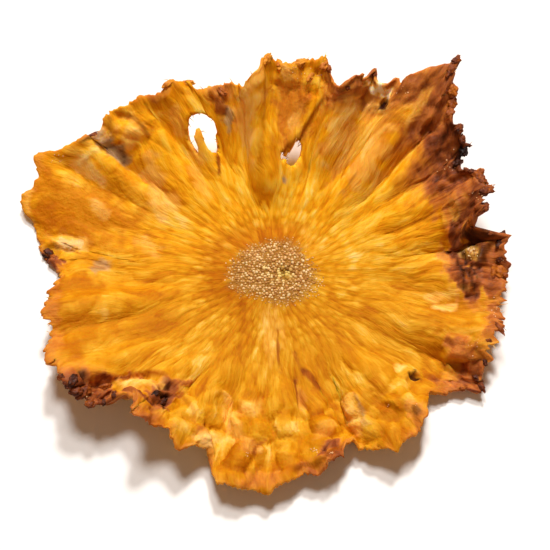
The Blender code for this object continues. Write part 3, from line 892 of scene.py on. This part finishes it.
# Loose fibres that bridge a hole: from a place to another, bow to the left, thickness
Strand = namedtuple("Strand", "angle radius to_angle to_radius bow thick")
STRANDS = listed(
    Strand,
    (57.4, 36.4, 53.6, 34.8, 0.4, 0.05), (55.2, 37.4, 54.4, 33.6, 0.3, 0.06),
    (80, 23.6, 82.6, 20.4, 0.3, 0.07),
)
HOLE_STRANDS = 26           # short frayed ends round the holes
STRAND_SIDES = 6
STRAND_SINK = (0.0, 0.0, 0.12)      # how far the ends of a bridging strand lie below the face
# Dried beads of juice: place of the group, how wide it is, and how many
Beads = namedtuple("Beads", "angle radius spread count")
BEADS = listed(
    Beads,
    (281, 35, 0.7, 14), (285.1, 36.3, 0.5, 5), (77.6, 34.2, 1.4, 10), (82.5, 34.3, 1.6, 12),
    (306.5, 32.8, 0.4, 4), (311.9, 36.1, 0.4, 4), (347, 39.4, 2.2, 14), (152.2, 44, 1.6, 8),
    (17, 37.4, 1.8, 10), (46, 45.6, 0.9, 12), (358.8, 39.6, 1, 8), (29, 36.4, 2, 10),
    (219, 41, 1.8, 12), (262.8, 35.4, 0.5, 6), (4.2, 34.9, 0.8, 10), (52, 37.4, 1.6, 8),
    (336, 38, 1.4, 8),
)


def ball(subdivisions):
    """Points and triangles of a small ball of radius 1."""
    mesh = bmesh.new()
    bmesh.ops.create_icosphere(mesh, subdivisions=subdivisions, radius=1.0)
    points = np.array([vertex.co for vertex in mesh.verts])
    faces = np.array([[vertex.index for vertex in face.verts] for face in mesh.faces])
    mesh.free()
    return points, faces


def make_shapes(name, shapes, faces, material, **values):
    """One piece of many small shapes with the same faces; each has its own values."""
    count, size = shapes.shape[:2]
    triangles = faces + size * np.arange(count)[:, None, None]
    values = {label: np.repeat(each, size) for label, each in values.items()}
    make_piece(name, shapes.reshape(-1, 3), triangles.reshape(-1, 3).tolist(), material, values)


def top_height(x, y):
    """Height of the slice's upper face at plan points within the core."""
    angle = np.degrees(np.arctan2(y, x)) % 360.0
    radius = np.hypot(x, y)
    share = radius / body_reach_at(angle)
    return lower_face(angle, share)[:, 2] + thickness_at(share, radius) + core_rise(x, y)


def build_grains(ground, material):
    """The cut ends of the core's fibre bundles: small uneven grains, packed closely."""
    draw = np.random.default_rng(SEED * 10)
    places = []
    step_y = GRAIN_PITCH * math.sqrt(0.75)
    rows = int(CORE.length * 1.3 / step_y)
    for row in range(-rows, rows + 1):
        for column in range(-rows - 2, rows + 3):
            x = (column + 0.5 * (row % 2)) * GRAIN_PITCH + draw.normal(0.0, GRAIN_SHIFT)
            y = row * step_y + draw.normal(0.0, GRAIN_SHIFT)
            frayed = 1.02 + draw.normal(0.0, 0.07) - core_outline(math.atan2(y, x))
            if spot_distance(CORE, x, y) < frayed and draw.uniform() > GRAINS_LEFT_OUT:
                places.append((x, y))
    clump = draw.normal(0.0, GRAINY.length * 0.5, (CLUMP_GRAINS, 2))
    x, y = np.concatenate([places, clump + in_plan(GRAINY.angle, GRAINY.radius)]).T
    count = len(x)
    juicy = np.clip(1.4 - np.hypot(x - PIT[0], y - PIT[1]) / PIT_RADIUS, 0.0, 1.0)
    juicy = np.maximum(juicy, (np.hypot(x + 0.6, y + 0.4) < 2.0) * 0.5 * draw.uniform(size=count))
    outer = smooth_step(spot_distance(CORE, x, y), 0.70, 0.40)
    size = draw.uniform(*GRAIN_SIZES, count) * (1.0 + 0.60 * juicy) * (1.0 - 0.42 * outer)
    flat = draw.uniform(0.65, 1.1, count)
    own = draw.uniform(0.0, 1.0, count)
    height = top_height(x, y) + draw.uniform(-0.09, 0.00, count) - 0.03 * outer
    for index in range(len(places), count):
        height[index] = ground.under(x[index], y[index])[2] + draw.uniform(-0.05, 0.08)
    wide, deep = draw.uniform(0.8, 1.25, (2, count)) * size
    sizes = np.stack([wide, deep, size * flat], axis=-1)
    unit, faces = ball(2)
    shapes = unit * sizes[:, None] + np.stack([x, y, height], axis=-1)[:, None]
    make_shapes("core_grains", shapes, faces, material, own=own, juicy=juicy)


def knobs_of_stretches(draw):
    knobs = []
    for stretch in KNOBBLY:
        for angle in np.linspace(stretch.start, stretch.end, stretch.count):
            angle = angle + draw.uniform(-0.8, 0.8)
            radius = reach_at(angle) - draw.uniform(0.0, 1.8)
            size = draw.uniform(0.30, 0.62)
            knobs.append(Knob(angle, radius, size * draw.uniform(1.0, 1.9), size,
                              angle + draw.uniform(-70.0, 70.0), draw.uniform(0.35, 0.85)))
    return knobs


def build_knobs(ground, material):
    draw = np.random.default_rng(SEED * 11)
    unit, faces = ball(4)
    knobs = KNOBS + knobs_of_stretches(draw)
    shapes = []
    for knob in knobs:
        seed = draw.uniform(0.0, 40.0)
        swell = [1.0 + 0.42 * noise.noise((x * 1.6 + seed, y * 1.6, z * 1.6))
                 + 0.24 * noise.noise((x * 4.0, y * 4.0 + seed, z * 4.0)) for x, y, z in unit]
        sizes = (knob.length, knob.width, 0.62 * knob.width)
        along, across, height = (unit * np.array(swell)[:, None] * sizes).T
        cos, sin = in_plan(knob.heading, 1.0)
        turned = (along * cos - across * sin, along * sin + across * cos,
                  height - 0.30 * knob.width)
        shapes.append(np.stack(turned, axis=-1) + ground.at(knob.angle, knob.radius))
    shapes = np.array(shapes)
    shapes[:, :, 2] = np.maximum(shapes[:, :, 2], 0.0)
    make_shapes("rim_knobs", shapes, faces, material, own=[knob.dark for knob in knobs])


def strand_tube(path, thick):
    """Points and faces of a tapered round strand along a path."""
    ahead = unit_length(np.gradient(path, axis=0))
    left = unit_length(np.cross((0.0, 0.0, 1.0), ahead) + (1e-6, 0.0, 0.0))
    over = np.cross(ahead, left)
    radius = thick * (1.0 - 0.75 * np.linspace(0.0, 1.0, len(path)) ** 2)
    faces = []
    points = []
    for ring in range(len(path)):
        for side in range(STRAND_SIDES):
            across, up = in_plan(360.0 * side / STRAND_SIDES, radius[ring])
            points.append(path[ring] + across * left[ring] + up * over[ring])
            here = ring * STRAND_SIDES + side
            after = ring * STRAND_SIDES + (side + 1) % STRAND_SIDES
            faces.append((here, after, after + STRAND_SIDES, here + STRAND_SIDES))
    last = len(points) - STRAND_SIDES
    ends = [tuple(reversed(range(STRAND_SIDES))), tuple(range(last, len(points)))]
    return points, faces[:last] + ends


def strand_paths(ground, beside, draw):
    """Middle lines of the listed strands and of short frayed ends at holes and rim."""
    share = np.linspace(0.0, 1.0, 9)[:, None]
    paths = []
    for strand in STRANDS:
        start = ground.at(strand.angle, strand.radius) - STRAND_SINK
        end = ground.at(strand.to_angle, strand.to_radius) - STRAND_SINK
        bow = unit_length(np.cross((0.0, 0.0, 1.0), end - start)) * strand.bow + (0.0, 0.0, 0.35)
        paths.append((start + (end - start) * share + bow * 4.0 * share * (1.0 - share),
                      strand.thick))
    for start in beside[draw.integers(0, len(beside), HOLE_STRANDS)]:
        hole = min(TORN, key=lambda tear: spot_distance(tear, start[0], start[1]))
        ahead = unit_length(np.array([*in_plan(hole.angle, hole.radius), start[2]]) - start)
        length = draw.uniform(0.4, 1.1)
        drop = draw.uniform((-0.3, -0.3, -0.5), (0.3, 0.3, 0.3))
        paths.append((start + ahead * length * share + drop * share ** 2,
                      draw.uniform(0.04, 0.08)))
    for stretch in FRAYED:
        for angle in draw.uniform(stretch.start, stretch.end, stretch.count):
            start = ground.at(angle, reach_at(angle)) - (0.0, 0.0, 0.25)
            heading = angle + draw.uniform(-35.0, 35.0)
            ahead = np.array([*in_plan(heading, 1.0), draw.uniform(-0.5, 0.2)])
            length = draw.uniform(0.4, 1.3)
            curl = draw.uniform((-0.5, -0.5, -0.4), (0.5, 0.5, 0.1))
            path = start + ahead * length * share + curl * share ** 2
            path[:, 2] = np.maximum(path[:, 2], 0.1)
            paths.append((path, draw.uniform(0.05, 0.10)))
    return paths


def build_strands(ground, beside, material):
    draw = np.random.default_rng(SEED * 12)
    points, faces, own = [], [], []
    for path, thick in strand_paths(ground, beside, draw):
        tube, sides = strand_tube(path, thick)
        faces += [tuple(index + len(points) for index in side) for side in sides]
        points += tube
        own += [draw.uniform()] * len(tube)
    make_piece("frayed_fibres", points, faces, material, {"own": np.array(own)})


def build_beads(ground, material):
    draw = np.random.default_rng(SEED * 13)
    unit, faces = ball(2)
    shapes = []
    for group in BEADS:
        for _ in range(group.count):
            x, y = in_plan(group.angle, group.radius) + draw.normal(0.0, group.spread * 0.5, 2)
            size = draw.uniform(0.05, 0.13) * draw.uniform((0.8, 0.8, 0.6), (1.4, 1.4, 0.9))
            shapes.append(unit * size + ground.under(x, y))
    make_shapes("juice_beads", np.array(shapes), faces, material)


# ---------------------------------------------------------------- materials
# Scales and depths of materials are in metres, as the meshes are.
def srgb(*screen):
    """Linear colour with alpha from red, green and blue screen values, 0 to 255."""
    values = [channel / 255.0 for channel in screen]
    return [v / 12.92 if v <= 0.04045 else ((v + 0.055) / 1.055) ** 2.4 for v in values] + [1.0]


class Shader:
    """Short ways to add nodes to one material."""

    def __init__(self, name):
        self.material = bpy.data.materials.new(name)
        self.material.use_nodes = True
        self.tree = self.material.node_tree

    def fill(self, sockets, values):
        for key, value in values.items():
            if isinstance(value, bpy.types.NodeSocket):
                self.tree.links.new(value, sockets[key])
            else:
                sockets[key].default_value = value

    def node(self, kind, output, values, **settings):
        """Adds a node, fills its sockets and gives one of its outputs."""
        node = self.tree.nodes.new("ShaderNode" + kind)
        for name, value in settings.items():
            setattr(node, name, value)
        self.fill(node.inputs, values)
        return node.outputs[output]

    def attribute(self, name, output="Fac"):
        return self.node("Attribute", output, {}, attribute_name=name)

    def math(self, operation, *values, clamp=False):
        return self.node("Math", 0, dict(enumerate(values)), operation=operation, use_clamp=clamp)

    def scaled(self, vector, scale):
        return self.node("VectorMath", 0, {0: vector, 1: scale}, operation="MULTIPLY")

    def noise(self, vector, scale, detail=3.0, rough=0.55):
        return self.node("TexNoise", "Fac", {"Vector": vector, "Scale": scale, "Detail": detail,
                                             "Roughness": rough})

    def speckle(self, scale, detail, rough=0.55):
        """Noise that is the same size everywhere on the piece."""
        return self.noise(self.node("TexCoord", "Object", {}), scale, detail, rough)

    def blend(self, factor, first, second):
        return self.node("Mix", 0, {0: factor, 2: first, 3: second})

    def mix(self, factor, first, second):
        return self.node("Mix", 2, {0: factor, 6: first, 7: second}, data_type="RGBA")

    def ramp(self, factor, *stops):
        """A ramp of screen colours; a stop is its position, then red, green and blue."""
        output = self.node("ValToRGB", "Color", {"Fac": factor})
        elements = output.node.color_ramp.elements
        while len(elements) < len(stops):
            elements.new(0.5)
        for element, (position, *screen) in zip(elements, stops):
            element.position = position
            element.color = srgb(*screen)
        return output

    def bump(self, height, distance, strength, **below):
        return self.node("Bump", "Normal", {"Height": height, "Distance": distance,
                                            "Strength": strength, **below})

    def finished(self, colour, roughness, specular=0.5, **others):
        """The material, once its main shader is filled."""
        values = {"Base Color": colour, "Roughness": roughness, "Specular IOR Level": specular}
        values.update((name.replace("_", " "), value) for name, value in others.items())
        self.fill(self.tree.nodes["Principled BSDF"].inputs, values)
        return self.material


def flesh_material():
    shader = Shader("dried_flesh")
    mark, calc, ramp, mix = shader.attribute, shader.math, shader.ramp, shader.mix
    fibre, outer, fibrous = mark("fibre", "Vector"), mark("outer"), mark("fibrous")

    def stroke(across, along, *detail):
        return shader.noise(shader.scaled(fibre, (across, across, along)), 1.0, *detail)

    streak = shader.blend(outer, stroke(3.0, 9.0), stroke(7.0, 9.0))
    fine = shader.blend(outer, stroke(7.0, 18.0, 2.0, 0.5), stroke(15.0, 18.0, 2.0, 0.5))
    # grain and uneven lighten the tone where they raise the bumps below: partly the fibres' own
    # streaked tone, partly painted highlight on the raised fibres and painted shade between them.
    grain = calc("MULTIPLY_ADD", streak, 0.40, -0.20)
    grain = calc("SUBTRACT", calc("ADD", grain, calc("MULTIPLY", fine, 0.24)), 0.12)
    grain = calc("MULTIPLY", grain, calc("MULTIPLY_ADD", fibrous, 0.75, 0.25))
    crinkle = calc("SUBTRACT", shader.speckle(1300.0, 3.0), 0.5)
    uneven = calc("MULTIPLY", crinkle, calc("SUBTRACT", 1.0, fibrous))
    tone = calc("ADD", grain, mark("tone"), clamp=True)
    tone = calc("ADD", tone, calc("MULTIPLY", uneven, 0.30), clamp=True)

    # The far ramps are lighter than the near ones. Mixing them by the far side's share paints light
    # onto the far slopes that face away from the lamps.
    near_flesh = ramp(tone, (0.05, 170, 90, 0), (0.28, 190, 114, 2), (0.50, 206, 138, 12),
                      (0.72, 221, 162, 38), (0.95, 240, 198, 100))
    far_flesh = ramp(tone, (0.05, 204, 110, 0), (0.28, 230, 146, 6), (0.50, 248, 177, 22),
                     (0.72, 254, 202, 66), (0.95, 255, 226, 138))
    near_amber = ramp(tone, (0.05, 158, 76, 0), (0.35, 178, 97, 0), (0.60, 192, 115, 0),
                      (0.90, 212, 144, 4))
    far_amber = ramp(tone, (0.05, 160, 77, 0), (0.35, 189, 103, 0), (0.60, 206, 122, 0),
                     (0.90, 229, 153, 2))
    flesh = mix(mark("painted_far_light"), near_flesh, far_flesh)
    amber = mix(mark("painted_far_light"), near_amber, far_amber)
    brown, pale_and_painted_light = mark("brown"), mark("pale_and_painted_light")
    browned = calc("ADD", calc("MULTIPLY_ADD", tone, -0.55, 0.33), calc("MULTIPLY", brown, 0.60),
                   clamp=True)
    browning = ramp(browned, (0.08, 232, 152, 62), (0.26, 206, 126, 54), (0.44, 176, 99, 46),
                    (0.62, 134, 69, 34), (0.80, 90, 42, 20), (0.97, 40, 17, 9))
    layers = [
        (mark("amber"), amber),
        (calc("MULTIPLY", brown, 1.5, clamp=True), browning),
        # Pale layer: the flesh's own pale patches, and painted light on shaded flanks and valleys.
        (pale_and_painted_light, ramp(tone, (0.10, 234, 153, 46), (0.50, 251, 191, 84), (0.90, 255, 220, 142))),
        (calc("MULTIPLY", calc("SUBTRACT", pale_and_painted_light, 0.88), 7.0, clamp=True),
         ramp(tone, (0.15, 250, 208, 132), (0.70, 255, 242, 210))),
        # Grey layer: the flesh's own grey patches, and painted shade.
        (mark("grey_and_painted_shade"),
         ramp(tone, (0.10, 104, 70, 42), (0.40, 170, 130, 88), (0.80, 218, 188, 144))),
        # Crease layer: painted shade in folds and creases.
        (mark("crease"), ramp(tone, (0.2, 124, 54, 6), (0.8, 182, 98, 14))),
        (mark("dark"), ramp(tone, (0.2, 14, 6, 4), (0.8, 74, 30, 12))),
        (mark("core"),
         ramp(fine, (0.25, 146, 94, 26), (0.50, 172, 118, 46), (0.75, 196, 144, 74))),
    ]
    colour = flesh
    for strength, layer in layers:
        colour = mix(strength, colour, layer)

    rough = calc("SUBTRACT", calc("MULTIPLY_ADD", fine, 0.30, 0.50), calc("MULTIPLY", brown, 0.22))
    wrinkle = calc("ABSOLUTE", calc("SUBTRACT", stroke(11.0, 8.0, 2.0, 0.5), 0.5))
    wrinkle = calc("MULTIPLY", calc("MULTIPLY", wrinkle, 14.0, clamp=True), fibrous)
    normal = shader.bump(grain, 0.0006, 0.6)
    normal = shader.bump(uneven, 0.0007, 0.6, Normal=normal)
    normal = shader.bump(wrinkle, 0.00007, 0.6, Normal=normal)
    return shader.finished(colour, rough, 0.07, Normal=normal, Subsurface_Weight=0.45,
                           Subsurface_Radius=(1.0, 0.42, 0.08), Subsurface_Scale=0.0007)


def grain_material():
    shader = Shader("core_grain")
    own = shader.attribute("own")
    tone = shader.math("MULTIPLY_ADD", shader.speckle(3000.0, 2.0, 0.5), 0.3, own)
    woody = shader.ramp(tone, (0.15, 166, 110, 52), (0.45, 196, 144, 80), (0.75, 216, 170, 108),
                        (1.00, 236, 202, 150))
    juicy = shader.ramp(tone, (0.15, 118, 78, 8), (0.60, 176, 132, 32), (1.00, 226, 196, 108))
    return shader.finished(
        shader.mix(shader.attribute("juicy"), woody, juicy),
        shader.math("MULTIPLY_ADD", own, 0.2, 0.40), 0.20, Subsurface_Weight=0.3,
        Subsurface_Radius=(1.0, 0.6, 0.3), Subsurface_Scale=0.0003)


def knob_material():
    shader = Shader("browned_knob")
    mottle = shader.speckle(1400.0, 4.0, 0.6)
    tone = shader.math("MULTIPLY_ADD", mottle, 0.9, shader.attribute("own"))
    colour = shader.ramp(shader.math("SUBTRACT", tone, 0.45, clamp=True),
                         (0.02, 228, 150, 36), (0.18, 196, 112, 30), (0.38, 152, 76, 20),
                         (0.60, 106, 46, 14), (0.82, 60, 24, 9), (1.00, 28, 11, 6))
    return shader.finished(colour, 0.42, 0.16, Normal=shader.bump(mottle, 0.0003, 0.8))


def strand_material():
    shader = Shader("loose_fibre")
    tone = shader.math("MULTIPLY_ADD", shader.speckle(900.0, 2.0), 0.4, shader.attribute("own"))
    colour = shader.ramp(tone, (0.20, 122, 62, 22), (0.60, 188, 112, 36), (0.95, 232, 178, 96),
                         (1.00, 244, 210, 150))
    return shader.finished(colour, 0.45, 0.30)


def bead_material():
    shader = Shader("dried_juice")
    colour = shader.ramp(shader.speckle(1200.0, 2.0), (0.3, 206, 132, 60), (0.7, 250, 214, 164))
    return shader.finished(colour, 0.14, 0.60)


def floor_material():
    shader = Shader("floor_paper")
    colour = shader.ramp(shader.speckle(8.0, 2.0), (0.3, 244, 244, 243), (0.7, 248, 248, 247))
    return shader.finished(colour, 0.9)


# ---------------------------------------------------------------- studio
CAMERA_ELEVATION = 66.0
CAMERA_DISTANCE = 0.300     # this and the target are in metres
CAMERA_TARGET = (0.0002, -0.0015, 0.0033)
CAMERA_LENS = 111.0
SENSOR_WIDTH = 36.0
CLIP_START = 0.01
FLOOR_HALF = 4000.0
# Lights far away: bearing and height, width in the sky, strength and colour
LIGHTS = {
    "key": (82.0, 51.0, 8.0, 2.36, (1.0, 0.98, 0.95)),
    "second": (100.0, 65.0, 14.0, 1.88, (1.0, 0.98, 0.96)),
    "front": (-80.0, 60.0, 50.0, 0.14, (1.0, 0.78, 0.56)),
}
ROOM = {"Color": (1.0, 0.60, 0.34, 1.0), "Strength": 0.20}


def add_aimed(name, data, azimuth, elevation, distance, target=(0.0, 0.0, 0.0)):
    """Puts a camera or light at a bearing and height from its target, in metres."""
    item = bpy.data.objects.new(name, data)
    bpy.context.scene.collection.objects.link(item)
    raised = math.radians(elevation)
    x, y = in_plan(azimuth, distance * math.cos(raised))
    item.location = Vector(target) + Vector((x, y, distance * math.sin(raised)))
    item.rotation_euler = (Vector(target) - item.location).to_track_quat("-Z", "Y").to_euler()
    return item


def add_camera():
    data = bpy.data.cameras.new("camera")
    data.lens = CAMERA_LENS
    data.sensor_width = SENSOR_WIDTH
    data.clip_start = CLIP_START
    bpy.context.scene.camera = add_aimed("camera", data, -90.0, CAMERA_ELEVATION,
                                         CAMERA_DISTANCE, CAMERA_TARGET)


def add_light(name, azimuth, elevation, spread, strength, colour):
    data = bpy.data.lights.new(name, "SUN")
    data.angle = math.radians(spread)
    data.energy = strength
    data.color = colour
    add_aimed(name, data, azimuth, elevation, 1.0)


def add_floor():
    corners = [(-1, -1, 0), (1, -1, 0), (1, 1, 0), (-1, 1, 0)]
    floor = make_object("floor", np.array(corners) * FLOOR_HALF, [(0, 1, 2, 3)],
                        floor_material(), {})


def add_studio():
    add_camera()
    add_floor()
    for name, light in LIGHTS.items():
        add_light(name, *light)
    world = bpy.data.worlds.new("room")
    world.use_nodes = True
    for name, value in ROOM.items():
        world.node_tree.nodes["Background"].inputs[name].default_value = value
    bpy.context.scene.world = world
    bpy.context.scene.view_settings.view_transform = "Standard"


add_studio()
upper_face, hole_edges = build_slice(flesh_material())
build_grains(upper_face, grain_material())
build_knobs(upper_face, knob_material())
build_strands(upper_face, hole_edges, strand_material())
build_beads(upper_face, bead_material())
